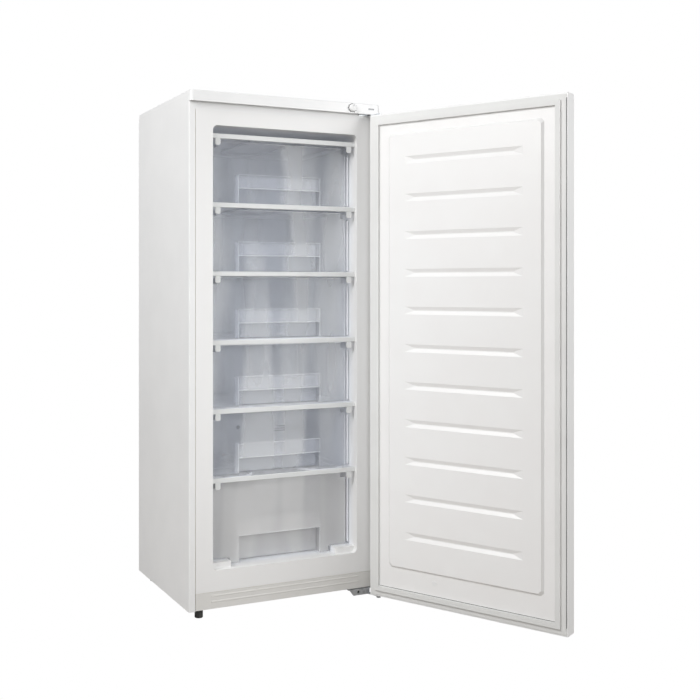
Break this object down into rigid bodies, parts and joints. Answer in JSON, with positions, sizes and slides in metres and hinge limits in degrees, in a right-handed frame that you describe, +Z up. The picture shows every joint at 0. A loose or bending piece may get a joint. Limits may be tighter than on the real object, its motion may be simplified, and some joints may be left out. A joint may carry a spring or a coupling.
{
  "type": "upright freezer",
  "caption": "Tall upright freezer with one hinged door and pull-out clear drawers on tubed evaporator shelves behind it.",
  "frame": {"origin": "middle of the front left levelling foot's sole, on the floor", "axes": "+X to the right as seen from the front, +Y to the back, +Z up"},
  "size_m": [0.8559, 0.9958, 1.43],
  "materials": {
    "white_paint": "satin white powder coat",
    "grey_paint": "light grey coated sheet",
    "galvanised_sheet": "galvanised sheet, matte",
    "white_abs": "smooth white moulding",
    "liner_white": "white thermoformed sheet, soft gloss",
    "insulation": "rigid polyurethane foam",
    "dark_plastic": "dark moulded plastic",
    "lens_plastic": "smoked lens",
    "shelf_enamel": "white coated steel tube and wire",
    "clear_plastic": "clear polystyrene",
    "frosted_plastic": "frosted polystyrene",
    "black_enamel": "black enamel",
    "black_rubber": "matte rubber",
    "zinc_steel": "zinc plated, dull",
    "copper_pipe": "copper, lightly tarnished",
    "gasket_vinyl": "soft white vinyl"
  },
  "bodies": {
    "cabinet": {"cabinet_shell": "white_paint", "back_panel": "grey_paint", "base_panel": "galvanised_sheet", "compressor_rail": "galvanised_sheet", "kick_plate": "white_abs", "liner": "liner_white", "foam_core": "insulation", "top_cover": "white_abs", "thermostat_body": "dark_plastic", "indicator_lens": "lens_plastic", "evaporator_shelf_1": "shelf_enamel", "shelf_trim_1": "white_abs", "evaporator_shelf_2": "shelf_enamel", "shelf_trim_2": "white_abs", "evaporator_shelf_3": "shelf_enamel", "shelf_trim_3": "white_abs", "evaporator_shelf_4": "shelf_enamel", "shelf_trim_4": "white_abs", "evaporator_shelf_5": "shelf_enamel", "shelf_trim_5": "white_abs", "evaporator_shelf_6": "shelf_enamel", "shelf_trim_6": "white_abs", "compressor": "black_enamel", "compressor_grommets": "black_rubber", "compressor_bolts": "zinc_steel", "terminal_box": "dark_plastic", "condenser_coil": "black_enamel", "suction_pipe": "copper_pipe", "discharge_pipe": "copper_pipe", "filter_drier": "copper_pipe", "foot_nuts": "zinc_steel", "rear_foot_left": "dark_plastic", "rear_foot_right": "dark_plastic", "lower_hinge": "zinc_steel", "upper_hinge": "zinc_steel", "hinge_screws": "zinc_steel"},
    "door": {"door_skin": "white_paint", "door_liner": "liner_white", "door_foam": "insulation", "door_gasket": "gasket_vinyl", "door_magnet": "gasket_vinyl", "door_top_cap": "white_abs", "door_bottom_cap": "white_abs", "door_grip": "white_abs", "door_plug": "white_abs", "hinge_bushes": "white_abs", "spare_stop_plate": "dark_plastic"},
    "thermostat_knob": {"thermostat_knob": "white_abs"},
    "left_foot": {"front_foot_left": "dark_plastic"},
    "right_foot": {"front_foot_right": "dark_plastic"},
    "drawer_1": {"drawer_1": "clear_plastic"},
    "drawer_2": {"drawer_2": "clear_plastic"},
    "drawer_3": {"drawer_3": "clear_plastic"},
    "drawer_4": {"drawer_4": "clear_plastic"},
    "drawer_5": {"drawer_5": "clear_plastic"},
    "drawer_6": {"drawer_6": "frosted_plastic"}
  },
  "joints": [
    {"name": "door_hinge", "type": "hinge", "parent": "cabinet", "child": "door", "pos_m": [0.531, -0.062, 0.7], "axis": [0, 0, 1], "range_deg": [-117.7, 12.3]},
    {"name": "drawer_1_slide", "type": "slide", "parent": "cabinet", "child": "drawer_1", "axis": [0, -1, 0], "range_m": [0, 0.26]},
    {"name": "drawer_2_slide", "type": "slide", "parent": "cabinet", "child": "drawer_2", "axis": [0, -1, 0], "range_m": [0, 0.26]},
    {"name": "drawer_3_slide", "type": "slide", "parent": "cabinet", "child": "drawer_3", "axis": [0, -1, 0], "range_m": [0, 0.26]},
    {"name": "drawer_4_slide", "type": "slide", "parent": "cabinet", "child": "drawer_4", "axis": [0, -1, 0], "range_m": [0, 0.26]},
    {"name": "drawer_5_slide", "type": "slide", "parent": "cabinet", "child": "drawer_5", "axis": [0, -1, 0], "range_m": [0, 0.26]},
    {"name": "drawer_6_slide", "type": "slide", "parent": "cabinet", "child": "drawer_6", "axis": [0, -1, 0], "range_m": [0, 0.15]},
    {"name": "thermostat_turn", "type": "hinge", "parent": "cabinet", "child": "thermostat_knob", "pos_m": [0.454, -0.045, 1.415], "axis": [0, -1, 0], "range_deg": [-150, 120]},
    {"name": "left_foot_turn", "type": "hinge", "parent": "cabinet", "child": "left_foot", "pos_m": [0, 0, 0.026], "axis": [0, 0, 1], "continuous": true},
    {"name": "right_foot_turn", "type": "hinge", "parent": "cabinet", "child": "right_foot", "pos_m": [0.49, 0, 0.026], "axis": [0, 0, 1], "continuous": true}
  ]
}
